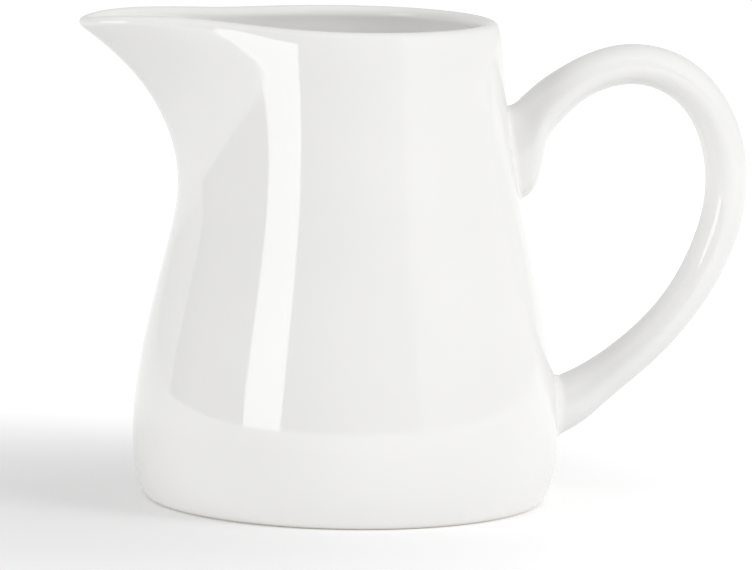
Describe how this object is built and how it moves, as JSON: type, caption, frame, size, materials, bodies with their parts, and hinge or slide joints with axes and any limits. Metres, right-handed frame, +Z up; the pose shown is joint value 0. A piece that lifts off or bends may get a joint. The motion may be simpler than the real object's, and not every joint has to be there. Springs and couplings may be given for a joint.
{
  "type": "milk jug",
  "caption": "Small glazed porcelain jug with a drawn-out pouring spout and an ear-shaped handle, for serving milk or cream.",
  "frame": {"origin": "centre of the foot, on the surface the jug stands on", "axes": "+Z up out of the mouth, +X towards the handle, -X towards the spout; the XZ plane is the plane of symmetry"},
  "size_m": [0.1287, 0.08, 0.0918],
  "materials": {
    "porcelain": "smooth clear glaze, with a bare standing ring under the foot"
  },
  "bodies": {
    "root": {"jug": "porcelain"}
  },
  "joints": []
}
